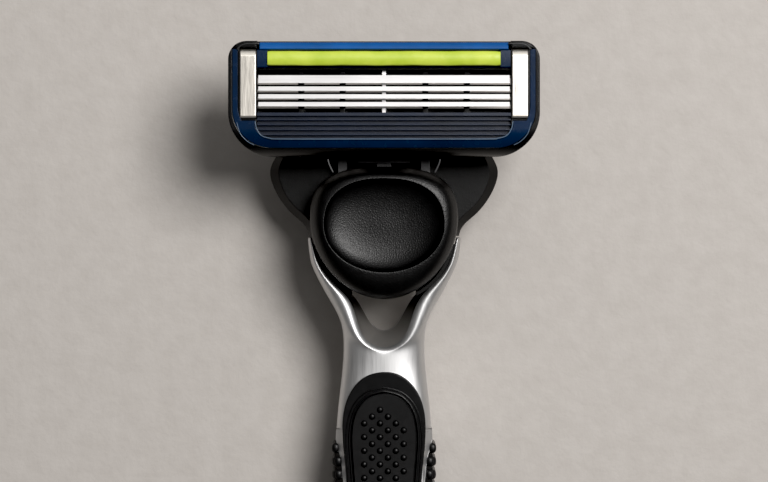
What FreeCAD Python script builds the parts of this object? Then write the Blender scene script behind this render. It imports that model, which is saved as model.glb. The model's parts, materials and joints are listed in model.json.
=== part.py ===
import FreeCAD, Part
import math
import os

# Cartridge razor lying on its back: +Y towards the head, +Z up, millimetres.
# The origin is at the middle of the razor's length and width, on the surface it lies on.

os.makedirs("parts", exist_ok=True)

V = FreeCAD.Vector

# ---- Driving dimensions -------------------------------------------------------------

total_length = 143.0        # tail end to top edge of the head
head_width = 42.0
head_depth = 15.6           # along Y
face_z = 22.0               # height of the shaving face
nose_radius = 3.6           # round lower side of the head, about the tilt axis
head_back_drop = 6.1        # face to flat back of the head
top_corner_radius = 2.5
low_corner_radius = 6.0

ball_radius = 9.0           # swivelling pod
ball_setback = 13.8         # tilt axis to ball centre, along Y
ball_z = 10.0
swivel_gap = 0.3            # pod to cradle

neck_width = 11.1
grip_width = 13.2
grip_top_z = 13.3           # crown of the handle's front at the grip
tail_cap_length = 7.5

tilt_range = math.radians(40.0)
button_travel = 2.0
blade_travel = 0.3

blade_count = 4
blade_pitch = 1.05
blade_tilt = math.radians(20.0)
blade_thickness = 0.11

# ---- Clearances ---------------------------------------------------------------------

running_fit = 0.05          # radial, pins in their holes
slide_fit = 0.15            # sliding pieces, each side
sheet_slot_gap = 0.05       # metal clips in their slots
layer_gap = 0.3             # between moving layers in the pod

# ---- Places worked out from the sizes above ------------------------------------------

head_half = head_width / 2
head_top = total_length / 2
head_low = head_top - head_depth
tilt_y = head_low + nose_radius
tilt_z = face_z - nose_radius
head_back = face_z - head_back_drop
ball_y = tilt_y - ball_setback
tail_y = -total_length / 2
tail_joint = tail_y + tail_cap_length

# ---- Shape helpers ------------------------------------------------------------------


def box(x0, x1, y0, y1, z0, z1):
    return Part.makeBox(x1 - x0, y1 - y0, z1 - z0, V(x0, y0, z0))


def rod_x(x0, x1, y, z, radius):
    return Part.makeCylinder(radius, x1 - x0, V(x0, y, z), V(1, 0, 0))


def post(x, y, z0, z1, radius):
    return Part.makeCylinder(radius, z1 - z0, V(x, y, z0), V(0, 0, 1))


def side_prism(points, x0, x1):
    """A polygon of (y, z) points, extruded across the razor."""
    corners = [V(x0, y, z) for y, z in points]
    wire = Part.makePolygon(corners + corners[:1])
    return Part.Face(wire).extrude(V(x1 - x0, 0, 0))


def smooth_outline(half, z):
    """A closed outline, mirrored about X = 0, through (x, y) points from top centre to bottom centre."""
    right = [V(x, y, z) for x, y in half]
    left = [V(-x, y, z) for x, y in half[-2:0:-1]]
    curve = Part.BSplineCurve()
    curve.interpolate(right + left, PeriodicFlag=True)
    return Part.Wire([curve.toShape()])


def smooth_plate(half, z0, z1):
    return Part.Face(smooth_outline(half, z0)).extrude(V(0, 0, z1 - z0))


def closed_patch(runs, z):
    """A closed wire of curves; each run is a list of (x, y) points, and the next run starts where it ends."""
    edges = []
    for run in runs:
        points = [V(x, y, z) for x, y in run]
        if len(points) == 2:
            edges.append(Part.makeLine(points[0], points[1]))
        else:
            curve = Part.BSplineCurve()
            curve.interpolate(points)
            edges.append(curve.toShape())
    return Part.Wire(edges)


def patch_prism(runs, z0, z1):
    return Part.Face(closed_patch(runs, z0)).extrude(V(0, 0, z1 - z0))


def rounded_plate(half_width, y0, y1, low_radius, high_radius, z0, z1):
    """A plate with its own corner radius at the low and the high end."""
    turn = math.sqrt(0.5)
    edges = []

    def corner(cx, cy, radius, sx, sy):
        start = V(cx + sx * radius, cy, z0)
        middle = V(cx + sx * radius * turn, cy + sy * radius * turn, z0)
        end = V(cx, cy + sy * radius, z0)
        return start, middle, end

    high = half_width - high_radius
    low = half_width - low_radius
    right_high = corner(high, y1 - high_radius, high_radius, 1, 1)
    left_high = corner(-high, y1 - high_radius, high_radius, -1, 1)
    left_low = corner(-low, y0 + low_radius, low_radius, -1, -1)
    right_low = corner(low, y0 + low_radius, low_radius, 1, -1)
    edges.append(Part.Arc(*right_high).toShape())
    edges.append(Part.makeLine(right_high[2], left_high[2]))
    edges.append(Part.Arc(left_high[2], left_high[1], left_high[0]).toShape())
    edges.append(Part.makeLine(left_high[0], left_low[0]))
    edges.append(Part.Arc(*left_low).toShape())
    edges.append(Part.makeLine(left_low[2], right_low[2]))
    edges.append(Part.Arc(right_low[2], right_low[1], right_low[0]).toShape())
    edges.append(Part.makeLine(right_low[0], right_high[0]))
    return Part.Face(Part.Wire(edges)).extrude(V(0, 0, z1 - z0))


def mirrored(shape):
    return shape.mirror(V(0, 0, 0), V(1, 0, 0))


def pair(shape):
    return shape.fuse(mirrored(shape))


def round_edges(shape, radius, wanted):
    """Fillet the edges whose middle point passes the test."""
    edges = []
    for edge in shape.Edges:
        middle = edge.valueAt((edge.FirstParameter + edge.LastParameter) / 2)
        if wanted(middle):
            edges.append(edge)
    return shape.makeFillet(radius, edges)


def coil_along_y(y0, y1, x, z, coil_radius, wire_radius, turns):
    height = y1 - y0 - 2 * wire_radius
    path = Part.makeHelix(height / turns, height, coil_radius)
    circle = Part.makeCircle(wire_radius, V(coil_radius, 0, 0), V(0, 1, 0))
    coil = Part.Wire(path.Edges).makePipeShell([Part.Wire([circle])], True, True)
    coil.rotate(V(0, 0, 0), V(1, 0, 0), -90)
    coil.translate(V(x, y0 + wire_radius, z))
    return coil


def export(name, shape):
    shape = shape.removeSplitter() if len(shape.Solids) == 1 else shape
    if len(shape.Solids) == 1:
        shape = shape.Solids[0]
    shape.exportStep("parts/" + name + ".step")
    print(name, len(shape.Solids), round(shape.Volume, 2), shape.isValid())


# ---- Head: sizes ---------------------------------------------------------------------

rim_width = 0.6             # black edge outside the trim band, at the sides
trim_width = 0.68           # trim band at the sides
low_rim = 1.2               # black edge below the trim band
low_trim = 1.1              # trim band along the bottom
trim_depth = 1.5
trim_proud = 0.06

clip_width = 2.15
clip_inset = 1.6            # head's side to clip's outer edge
clip_sheet = 0.25
clip_y0 = tilt_y + 1.5
clip_y1 = head_top - 1.05
clip_foot = 1.3

well_half = head_half - 3.9          # side walls of the blade well
guard_y0 = head_low + low_rim + low_trim
guard_y1 = guard_y0 + 3.6
guard_floor = face_z - 1.4
window_y1 = head_top - 4.1
tray_floor = face_z - 2.3

fin_count = 4
fin_pitch = 0.67
fin_width = 0.32
first_bar_width = 0.44

blade_half = well_half - 0.15
first_edge_y = head_top - 5.73
first_blade_width = 1.09             # the topmost blade shows more of itself
blade_width = 0.62
blade_edge_z = face_z - 0.05
support_sheet = 0.16
support_start = 0.26
support_foot_z = face_z - 3.3
spine_half = 0.25
rib_offsets = (5.6, 11.2)
rib_width = 0.8
rinse_bar_width = 0.6

# ---- Tilt cam and yoke: sizes ----------------------------------------------------------

ear_x0 = head_half - 8.0             # yoke ears, either side
ear_x1 = head_half - 6.0
ear_radius = 1.9
trunnion_radius = 0.8
trunnion_length = 1.5
ear_bar_width = 2.0
ear_bar_angle = math.radians(258.0)
ear_side_gap = 0.3

cam_base_radius = 5.9                # plunger travel per radian of tilt
cam_start = 0.3                      # roll length at rest
cam_half = 2.9
cam_thickness = 1.7

yoke_z0 = ball_z - 5.0
yoke_z1 = ball_z + 0.1
dock_half = 5.65
dock_z0 = ball_z - 3.65
dock_z1 = ball_z - 1.25
dock_y1 = tilt_y - 0.1
yoke_y1 = tilt_y + 0.7

# ---- Pod: sizes -------------------------------------------------------------------------

pod_z0 = ball_z - 5.8
deck_z = ball_z + 3.7
cover_thickness = 0.5
slider_z0 = ball_z + 1.7
slider_z1 = ball_z + 3.3
plunger_half = 3.65
plunger_y0 = tilt_y - 4.34
plunger_stem_half = 1.0
plunger_stem_length = 2.65
prong_x0 = 5.05
prong_x1 = 6.3
prong_y1 = tilt_y - 2.8
cross_bar_y0 = ball_y - 5.5
cross_bar_y1 = ball_y - 4.1
spring_wall_y = ball_y - 0.1
spring_wall = 0.5
spring_coil_radius = 0.78
spring_wire_radius = 0.14
swivel_pin_radius = 1.2
swivel_pin_top = ball_z - 0.4
cradle_floor_z0 = ball_z - 7.4
cradle_floor_z1 = pod_z0 - layer_gap
cradle_sheet = 0.5

cap_half_width = ball_radius + 1.16
cap_half_length = ball_radius + 0.2
cap_z0 = deck_z + cover_thickness + 0.2
cap_crest_z = ball_z + 7.6
dish_half_width = cap_half_width - 2.0
dish_half_length = cap_half_length - 2.9
dish_depth = 1.9

cavity_radius = ball_radius + swivel_gap + cradle_sheet

# ---- Head --------------------------------------------------------------------------------


def head_block(extra=0.0):
    """The head's full outer shape, raised by extra for pieces that stand proud of it."""
    round_side = rod_x(-head_half, head_half, tilt_y, tilt_z, nose_radius)
    round_side = round_side.common(box(-head_half, head_half, head_low, tilt_y, 0, face_z))
    profile = [
        (tilt_y, face_z),
        (head_top - 0.5, face_z),
        (head_top, face_z - 0.7),
        (head_top, head_back + 0.8),
        (head_top - 0.8, head_back),
        (tilt_y + 1.4, head_back),
        (tilt_y, tilt_z - nose_radius),
    ]
    block = round_side.fuse(side_prism(profile, -head_half, head_half))
    outline = rounded_plate(
        head_half, head_low, head_top, low_corner_radius, top_corner_radius, 0, face_z + 5
    )
    block = block.common(outline).removeSplitter()
    block.translate(V(0, 0, extra))
    return block


def leaf_runs(grow=0.0):
    """Curved corner piece below a clip, on the right, in plan."""
    outer_x = head_half - clip_inset + grow
    inner_x = well_half + 0.3 - grow
    top = clip_y0 - 0.3
    tip_x = well_half - 1.9
    tip_y = guard_y0 + 0.02
    outer = [
        (outer_x, top),
        (outer_x - 0.4, top - 1.0),
        (outer_x - 1.1, top - 1.9),
        (outer_x - 2.1, top - 2.65 - grow),
        (outer_x - 3.1, top - 2.75 - grow),
        (tip_x, tip_y),
    ]
    inner = [
        (tip_x, tip_y),
        (inner_x - 1.5, tip_y + 0.2),
        (inner_x - 0.75, tip_y + 0.65),
        (inner_x - 0.15, tip_y + 1.35),
        (inner_x, top),
    ]
    return [outer, inner, [(inner_x, top), (outer_x, top)]]


def guard_plan(z0, z1):
    """Guard area: a band whose lower corners follow the corner pieces."""
    plate = box(-well_half, well_half, guard_y0, guard_y1, z0, z1)
    return plate.cut(pair(patch_prism(leaf_runs(0.0), z0 - 1, z1 + 1)))


def guard_frame():
    outer = rounded_plate(
        head_half - rim_width, head_low + low_rim, head_top + 5,
        low_corner_radius - 0.8, 1.0, face_z - trim_depth, face_z + 1,
    )
    inner = rounded_plate(
        head_half - rim_width - trim_width, head_low + low_rim + low_trim, head_top + 6,
        low_corner_radius - 1.4, 1.0, face_z - trim_depth - 1, face_z + 2,
    )
    band = outer.cut(inner)
    base = outer.common(box(-head_half, head_half, head_low, clip_y0 - 0.15, 0, guard_floor))
    leaves = pair(patch_prism(leaf_runs(), face_z - trim_depth, face_z + 1))
    frame = band.fuse([base, leaves])
    frame = frame.common(box(-head_half, head_half, 0, clip_y1 - 0.1, 0, face_z + 2))
    frame = frame.common(head_block(trim_proud))
    return frame.cut(guard_plan(guard_floor, face_z + 2))


def guard_fins():
    solid = guard_plan(guard_floor, guard_floor + 0.5)
    fins = [box(-well_half, well_half, guard_y1 - first_bar_width, guard_y1, guard_floor, face_z - 0.1)]
    for number in range(fin_count):
        middle = guard_y1 - first_bar_width - 0.5 - number * fin_pitch
        foot = fin_width / 2
        tip = foot * 0.6
        profile = [
            (middle - foot, guard_floor),
            (middle + foot, guard_floor),
            (middle + tip, face_z - 0.1),
            (middle - tip, face_z - 0.1),
        ]
        fins.append(side_prism(profile, -well_half, well_half))
    return solid.fuse(fins).common(guard_plan(guard_floor, face_z))


def strip_pocket(gap):
    half = well_half - 1.4 + gap
    y0 = head_top - 3.4 - gap
    y1 = head_top - 1.35 + gap
    return half, y0, y1


def strip_tray():
    block = box(-well_half, well_half, window_y1 + 0.1, head_top - 0.2, tray_floor, face_z)
    block = round_edges(
        block, 0.35, lambda p: abs(p.x) < 1 and p.z > face_z - 0.1
    )
    half, y0, y1 = strip_pocket(sheet_slot_gap)
    return block.cut(box(-half, half, y0, y1, tray_floor + 0.8, face_z + 1))


def lubricating_strip():
    half, y0, y1 = strip_pocket(0.0)
    strip = box(-half, half, y0, y1, tray_floor + 0.8, face_z + 0.15)
    return round_edges(strip, 0.25, lambda p: p.z > face_z)


def clip_solid():
    """Right-hand clip: a folded strip over the face, with two legs through the head and bent feet."""
    x1 = head_half - clip_inset
    x0 = x1 - clip_width
    top = face_z + clip_sheet
    foot_z = head_back - clip_sheet
    outer = box(x0, x1, clip_y0, clip_y1, foot_z, top)
    inner = box(x0 - 1, x1 + 1, clip_y0 + clip_sheet, clip_y1 - clip_sheet, 0, face_z)
    clip = outer.cut(inner)
    low_foot = box(x0, x1, clip_y0, clip_y0 + clip_foot, foot_z, head_back)
    high_foot = box(x0, x1, clip_y1 - clip_foot, clip_y1, foot_z, head_back)
    clip = clip.fuse([low_foot, high_foot]).removeSplitter()
    return round_edges(clip, 0.2, lambda p: p.z > top - 0.01 and abs(p.x - (x0 + x1) / 2) < 0.1)


def clip_slots():
    x1 = head_half - clip_inset + sheet_slot_gap
    x0 = x1 - clip_width - 2 * sheet_slot_gap
    slots = []
    for y in (clip_y0, clip_y1 - clip_sheet):
        y0 = y - sheet_slot_gap
        slots.append(box(x0, x1, y0, y0 + clip_sheet + 2 * sheet_slot_gap, 0, face_z + 1))
    return pair(slots[0].fuse(slots[1]))


def blade_place(number):
    """Cutting edge's Y and the width of the blade that shows."""
    width = first_blade_width if number == 0 else blade_width
    return first_edge_y - number * blade_pitch, width


def blade(number):
    edge, width = blade_place(number)
    slope = math.tan(blade_tilt)
    bevel = 0.22
    profile = [
        (edge, blade_edge_z),
        (edge + width, blade_edge_z - width * slope),
        (edge + width, blade_edge_z - width * slope - blade_thickness),
        (edge + bevel, blade_edge_z - bevel * slope - blade_thickness),
    ]
    return side_prism(profile, -blade_half, blade_half)


def blade_support(number):
    edge, width = blade_place(number)
    slope = math.tan(blade_tilt)
    start_z = blade_edge_z - support_start * slope - blade_thickness
    back_z = blade_edge_z - width * slope - blade_thickness
    leg_y = edge + width - support_sheet
    bend_z = blade_edge_z - (width - support_sheet) * slope - blade_thickness - support_sheet
    profile = [
        (edge + support_start, start_z),
        (edge + width, back_z),
        (edge + width, support_foot_z),
        (leg_y, support_foot_z),
        (leg_y, bend_z),
        (edge + support_start, start_z - support_sheet),
    ]
    half = blade_half - 0.35
    support = side_prism(profile, -half, half)
    notch = spine_half + slide_fit
    return support.cut(box(-notch, notch, leg_y - 0.05, edge + width + 1, 0, bend_z - 0.02))


def blade_spine():
    return box(-spine_half, spine_half, guard_y1 - 0.05, window_y1, face_z - 3.6, face_z - 1.2)


def blade_ribs():
    """Cross ribs under the blades, slotted for the legs of the supports."""
    ribs = []
    for offset in rib_offsets:
        for side in (-1, 1):
            x = side * offset
            ribs.append(
                box(x - rib_width / 2, x + rib_width / 2, guard_y1 - 0.2, window_y1 + 0.2,
                    head_back + 0.4, face_z - 1.45)
            )
    solid = ribs[0].fuse(ribs[1:])
    for number in range(blade_count):
        edge, width = blade_place(number)
        y1 = edge + width + slide_fit
        y0 = y1 - support_sheet - 2 * slide_fit
        solid = solid.cut(
            box(-head_half, head_half, y0, y1, support_foot_z - blade_travel - slide_fit, face_z)
        )
    return solid


def rinse_bars():
    """Bars along the back of the well, one under each gap between blades and one at either end."""
    z0 = head_back + 0.3
    z1 = support_foot_z - blade_travel - 0.5
    middles = []
    for number in range(blade_count):
        edge, width = blade_place(number)
        middles.append(edge + width + 0.1)
    low = middles[-1] - blade_pitch + rinse_bar_width / 2 - 0.1
    spans = [(guard_y1 - 0.1, low), (middles[0], window_y1 + 0.1)]
    for middle in middles:
        spans.append((middle - rinse_bar_width / 2, middle + rinse_bar_width / 2))
    bars = []
    for y0, y1 in spans:
        bars.append(box(-well_half - 0.1, well_half + 0.1, y0, y1, z0, z1))
    return bars[0].fuse(bars[1:])


def swing_slot():
    """Room for a yoke ear and its bar over the whole tilt, on the right."""
    x0 = ear_x0 - ear_side_gap
    x1 = ear_x1 + ear_side_gap
    half = ear_bar_width / 2 + ear_side_gap
    reach = 12.0
    slot = rod_x(x0, x1, tilt_y, tilt_z, ear_radius + ear_side_gap)
    bars = []
    for angle in (ear_bar_angle, ear_bar_angle + tilt_range / 2, ear_bar_angle + tilt_range):
        along = (math.cos(angle), math.sin(angle))
        across = (-along[1], along[0])
        corners = []
        for out, side in ((0, 1), (reach, 1), (reach, -1), (0, -1)):
            y = tilt_y + out * along[0] + side * half * across[0]
            z = tilt_z + out * along[1] + side * half * across[1]
            corners.append((y, z))
        bars.append(side_prism(corners, x0, x1))
    wedge = [(tilt_y, tilt_z)]
    for step in range(5):
        angle = ear_bar_angle + tilt_range * step / 4
        wedge.append((tilt_y + reach * math.cos(angle), tilt_z + reach * math.sin(angle)))
    bars.append(side_prism(wedge, x0, x1))
    return slot.fuse(bars)


def cam_tooth():
    """Involute tooth below the head: its front face pushes the flat plunger as the head tilts."""
    front = []
    steps = 8
    for step in range(steps + 1):
        angle = tilt_range * step / steps
        roll = cam_start + cam_base_radius * angle
        y = -roll * math.cos(angle) + cam_base_radius * math.sin(angle)
        z = -roll * math.sin(angle) - cam_base_radius * math.cos(angle)
        front.append((tilt_y + y, tilt_z + z))
    tip_y, tip_z = front[-1]
    profile = [(tilt_y - cam_start, tilt_z)] + front
    profile.append((tip_y + 0.5, tip_z + 0.05))
    profile.append((tilt_y + cam_thickness, tilt_z - cam_base_radius))
    profile.append((tilt_y + cam_thickness, tilt_z))
    return side_prism(profile, -cam_half, cam_half)


def cartridge_housing():
    body = head_block().fuse(cam_tooth())
    cap_x0 = well_half + 0.1
    cap_x1 = head_half - 0.15
    end_cap = box(cap_x0, cap_x1, head_top - 0.95, head_top - 0.1, face_z - 1, face_z + 0.2)
    end_cap = end_cap.common(
        rounded_plate(head_half - 0.1, head_low, head_top - 0.1, 1, top_corner_radius, 0, face_z + 5)
    )
    body = body.fuse(pair(end_cap))
    well = box(-well_half, well_half, guard_y1, window_y1, 0, face_z + 1)
    guard_room = guard_plan(guard_floor, face_z + 1)
    tray_room = box(-well_half, well_half, window_y1, head_top + 1, tray_floor, face_z + 1)
    body = body.cut(well).fuse([blade_ribs(), rinse_bars()])
    body = body.cut([guard_room, tray_room, clip_slots(), guard_frame(), blade_spine()])
    hole = rod_x(ear_x1, ear_x1 + trunnion_length + 0.2, tilt_y, tilt_z, trunnion_radius + running_fit)
    return body.cut([pair(swing_slot()), pair(hole)])


# ---- Yoke ----------------------------------------------------------------------------------


def wing_plan(inset, z):
    """The yoke's plan: straight across under the head, curved wings that end beside the pod."""
    wide = head_half - 5.3
    tip = ball_radius + 1.36
    span = wide - tip
    side = [
        (wide - 1.8 - inset, yoke_y1),
        (wide - 0.75 - inset, tilt_y - 3.4),
        (wide - inset, tilt_y - 5.2),
        (wide - 0.35 - inset, tilt_y - 7.3),
        (tip + span * 0.73 - inset * 0.8, tilt_y - 9.4 + inset * 0.3),
        (tip + span * 0.4 - inset * 0.7, tilt_y - 11.45 + inset * 0.5),
        (tip + span * 0.1 - inset * 0.6, tilt_y - 12.95 + inset * 0.5),
        (tip - inset * 0.4, tilt_y - 14.3),
    ]
    right = side
    left = [(-x, y) for x, y in side[::-1]]
    return closed_patch([right, [right[-1], left[0]], left, [left[-1], right[0]]], z)


def yoke():
    bevel = 1.2
    levels = [
        wing_plan(0.6, yoke_z0),
        wing_plan(0.0, yoke_z0 + 1.2),
        wing_plan(0.0, yoke_z1 - 1.4),
        wing_plan(bevel, yoke_z1),
    ]
    plate = Part.makeLoft(levels, True, True)
    ball_room = post(0, ball_y, yoke_z0 - 1, yoke_z1 + 1, ball_radius + swivel_gap + 0.05)
    socket = box(
        -dock_half - slide_fit, dock_half + slide_fit, ball_y, dock_y1 + layer_gap,
        dock_z0 - slide_fit, dock_z1 + slide_fit,
    )
    body = plate
    catch = box(prong_x0, prong_x1, tilt_y - 0.5, yoke_y1, yoke_z1 - 0.5, slider_z1 - 0.1)
    along = (math.cos(ear_bar_angle), math.sin(ear_bar_angle))
    across = (-along[1], along[0])
    length = (tilt_z - yoke_z1 + 1.2) / abs(along[1])
    half = ear_bar_width / 2
    corners = []
    for out, side in ((0, 1), (length, 1), (length, -1), (0, -1)):
        corners.append(
            (tilt_y + out * along[0] + side * half * across[0],
             tilt_z + out * along[1] + side * half * across[1])
        )
    bar = side_prism(corners, ear_x0, ear_x1)
    ear = rod_x(ear_x0, ear_x1, tilt_y, tilt_z, ear_radius)
    trunnion = rod_x(ear_x1 - 0.5, ear_x1 + trunnion_length, tilt_y, tilt_z, trunnion_radius)
    body = body.fuse([pair(catch), pair(bar), pair(ear), pair(trunnion)])
    return body.cut([ball_room, socket])


# ---- Pod, button and plunger -----------------------------------------------------------------


def ball(radius):
    return Part.makeSphere(radius, V(0, ball_y, ball_z))


def slab(z0, z1):
    return box(-40, 40, ball_y - 40, ball_y + 40, z0, z1)


def pod_body():
    body = ball(ball_radius).common(slab(pod_z0, deck_z))
    dock = box(-dock_half, dock_half, ball_y + 4, dock_y1, dock_z0, dock_z1)
    dock = round_edges(dock, 0.4, lambda p: p.y > dock_y1 - 0.01)
    body = body.fuse(dock)
    floor = slider_z0 - layer_gap
    top = deck_z + 1
    travel = cam_base_radius * tilt_range
    plunger_room = box(
        -plunger_half - 0.25, plunger_half + 0.25, plunger_y0 - travel - 0.35, tilt_y, floor, top
    )
    spring_half = spring_coil_radius + spring_wire_radius + 0.2
    stem_room = box(-spring_half, spring_half, spring_wall_y + spring_wall, tilt_y, floor, top)
    rail_room = box(prong_x0 - 0.15, prong_x1 + 0.15, cross_bar_y0 - 0.2, tilt_y, floor, top)
    bar_room = box(
        -prong_x1 - 0.15, prong_x1 + 0.15, cross_bar_y0 - 0.2,
        cross_bar_y1 + button_travel + 0.3, floor, top,
    )
    button_spring_room = box(-spring_half, spring_half, cross_bar_y0, spring_wall_y, floor, top)
    pin_hole = post(0, ball_y, 0, swivel_pin_top + 0.2, swivel_pin_radius + running_fit)
    spring_room = post(0, ball_y, 0, pod_z0 + 1.6, 3.4)
    return body.cut(
        [plunger_room, stem_room, pair(rail_room), bar_room, button_spring_room, pin_hole, spring_room]
    )


def boss_place():
    return (prong_x0 + prong_x1) / 2, cross_bar_y1 + 1.0


def pod_cover():
    cover = ball(ball_radius).common(slab(deck_z, deck_z + cover_thickness))
    x, y = boss_place()
    window = box(x - 0.75, x + 0.75, y - 0.75, y + 0.75 + button_travel, deck_z - 1, deck_z + 2)
    return cover.cut(pair(window))


def cap_outline(scale, z):
    egg = [
        (0.0, 1.0), (0.41, 0.985), (0.675, 0.88), (0.856, 0.695), (0.974, 0.435), (1.0, 0.217),
        (0.984, 0.02), (0.92, -0.24), (0.787, -0.484), (0.58, -0.717), (0.335, -0.897), (0.0, -1.0),
    ]
    half = []
    for x, y in egg:
        half.append((x * cap_half_width * scale, ball_y + y * cap_half_length * scale))
    return smooth_outline(half, z)


def eject_button():
    rise = cap_crest_z - cap_z0
    levels = [(0.0, 0.95), (0.17, 1.0), (0.4, 0.965), (0.66, 0.925), (0.9, 0.875), (1.0, 0.82)]
    cap = Part.makeLoft([cap_outline(s, cap_z0 + rise * u) for u, s in levels], True, True)
    share = 0.8
    height = dish_depth / (1 - math.sqrt(1 - share * share))
    dish = Part.makeSphere(1.0)
    stretch = FreeCAD.Matrix()
    stretch.scale(V(dish_half_width / share, dish_half_length / share, height))
    dish = dish.transformGeometry(stretch)
    dish.translate(V(0, ball_y + 0.9, cap_crest_z + height - dish_depth))
    x, y = boss_place()
    boss = post(x, y, slider_z1, cap_z0 + 0.3, 0.55)
    return cap.cut(dish).fuse(pair(boss))


def ejector_prongs():
    rail = box(prong_x0, prong_x1, cross_bar_y0, prong_y1, slider_z0, slider_z1)
    cross_bar = box(-prong_x1, prong_x1, cross_bar_y0, cross_bar_y1, slider_z0, slider_z1)
    return pair(rail).fuse(cross_bar)


def plunger():
    y1 = tilt_y - cam_start - 0.05
    head = box(-plunger_half, plunger_half, plunger_y0, y1, slider_z0, slider_z1)
    stem = box(
        -plunger_stem_half, plunger_stem_half, plunger_y0 - plunger_stem_length, plunger_y0 + 0.5,
        slider_z0 + 0.2, slider_z1 - 0.2,
    )
    return head.fuse(stem)


def slider_middle():
    return (slider_z0 + slider_z1) / 2


def plunger_spring():
    y0 = spring_wall_y + spring_wall
    y1 = plunger_y0 - plunger_stem_length
    return coil_along_y(y0, y1, 0, slider_middle(), spring_coil_radius, spring_wire_radius, 6)


def button_spring():
    return coil_along_y(
        cross_bar_y1, spring_wall_y, 0, slider_middle(), spring_coil_radius, spring_wire_radius, 4
    )


# ---- Handle ------------------------------------------------------------------------------------


def handle_stations():
    """(y, half width, front height, back height) from the fork's tips to the tail joint."""
    neck = neck_width / 2
    grip = grip_width / 2
    tips = ball_radius + 1.5
    crown = grip_top_z
    low = tail_joint
    return [
        (ball_y - 0.7, tips, 13.9, 10.5),
        (ball_y - 2.7, tips - 0.1, 14.0, 9.4),
        (ball_y - 5.7, tips - 1.1, 14.0, 6.8),
        (ball_y - 9.2, tips - 2.95, 14.1, 5.2),
        (ball_y - 12.7, neck + 0.35, 14.1, 4.6),
        (ball_y - 15.7, neck, 14.1, 4.1),
        (ball_y - 19.7, neck + 0.25, 13.9, 3.2),
        (ball_y - 25.7, grip - 0.1, crown + 0.3, 1.6),
        (ball_y - 33.7, grip, crown, 0.7),
        (ball_y - 45.0, grip, crown, 0.5),
        ((ball_y - 45.0 + low) / 2 + 4.0, grip - 0.5, crown - 0.6, 0.6),
        (low + 15.0, grip - 1.0, crown - 2.0, 0.9),
        (low, grip - 1.1, crown - 3.2, 1.0),
    ]


def handle_plan(grow):
    side = [(half + grow, y) for y, half, _, _ in handle_stations()]
    left = [(-x, y) for x, y in side[::-1]]
    return closed_patch([side, [side[-1], left[0]], left, [left[-1], side[0]]], 0)


def handle_side(grow):
    """Side view: front curve down to the tail joint, and the back curve home."""
    front = [V(0, y, top + grow) for y, _, top, _ in handle_stations()]
    back = [V(0, y, low - grow) for y, _, _, low in handle_stations()][::-1]
    edges = []
    for first, second in ((front, back), (back, front)):
        curve = Part.BSplineCurve()
        curve.interpolate(first)
        edges.append(curve.toShape())
        edges.append(Part.makeLine(first[-1], second[0]))
    return Part.Wire(edges)


front_bevel = 1.3           # crease along the handle's front edges
back_round = 2.0


def handle_solid(grow=0.0):
    """The handle's full shape, front edges creased and back edges rounded; grow moves it outwards."""
    wide = 40.0
    side = Part.Face(handle_side(grow)).extrude(V(wide, 0, 0))
    side.translate(V(-wide / 2, 0, 0))
    solid = Part.Face(handle_plan(grow)).extrude(V(0, 0, wide)).common(side)
    long_edge = total_length / 3
    front = []
    for edge in solid.Edges:
        middle = edge.valueAt((edge.FirstParameter + edge.LastParameter) / 2)
        if edge.Length > long_edge and middle.z > grip_top_z / 2 + 1.5:
            front.append(edge)
    solid = solid.makeChamfer(front_bevel, front)
    back = []
    for edge in solid.Edges:
        middle = edge.valueAt((edge.FirstParameter + edge.LastParameter) / 2)
        if edge.Length > long_edge and middle.z < grip_top_z / 4:
            back.append(edge)
    return solid.makeFillet(back_round, back)


bezel_top = ball_y - 19.1
bezel_low = tail_joint + 28.0
bezel_half = grip_width / 2 - 0.9
pad_top = ball_y - 22.1
pad_low = bezel_low + 3.2
pad_half = bezel_half - 1.37
core_half = 3.3
core_z0 = 2.6
core_z1 = 10.2
bezel_floor = core_z1 + 0.1
pad_floor = core_z1 + 1.4


def grip_outline(top, low, half, low_half):
    """Half outline of a grip inlay: widest near the top, tapering to a round lower end."""
    wide_y = top - half * 1.4
    return [
        (0.0, top),
        (half * 0.52, top - half * 0.16),
        (half * 0.87, top - half * 0.62),
        (half, wide_y),
        (half * 0.93, wide_y - 5.0),
        (half * 0.86, wide_y - 11.0),
        ((half * 0.82 + low_half) / 2, (wide_y - 11.0 + low) / 2),
        (low_half, low + low_half * 1.5),
        (low_half * 0.72, low + low_half * 0.42),
        (0.0, low),
    ]


def bezel_plate(z0, z1):
    return smooth_plate(grip_outline(bezel_top, bezel_low, bezel_half, bezel_half - 1.9), z0, z1)


def pad_plate(z0, z1):
    return smooth_plate(grip_outline(pad_top, pad_low, pad_half, pad_half - 1.5), z0, z1)


def grip_bezel():
    bezel = bezel_plate(bezel_floor, 20).common(handle_solid(0.45))
    return bezel.cut(pad_plate(pad_floor, 20))


def grip_pad():
    return pad_plate(pad_floor, 20).common(handle_solid(1.05))


def back_region():
    """Side view of the rubber back grip: it climbs the sides below the fork and fades out near the tail."""
    top = ball_y - 27.3
    low = tail_joint + 22.0
    crown = grip_top_z
    profile = [
        (top, -1.0), (top, crown - 3.0), (top - 1.2, crown - 1.1), (top - 4.0, crown - 0.45),
        (top - 7.0, crown - 0.3), (top - 25.0, crown - 0.35), (low + 14.0, crown - 3.2),
        (low + 5.0, crown - 6.0), (low, 3.0), (low, -1.0),
    ]
    return side_prism(profile, -20, 20)


rib_pitch = 1.8
rib_width_y = 1.0
rib_proud = 0.35
rib_first_y = ball_y - 29.6
side_rib_count = 22
rest_land_half = 3.2        # flat land that the handle lies on
rest_land_y0 = ball_y - 62.0
rest_land_y1 = ball_y - 36.5
rest_land_height = 2.0
rubber_thickness = 0.9


def rest_land(z0, z1):
    return box(-rest_land_half, rest_land_half, rest_land_y0, rest_land_y1, z0, z1)


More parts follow.
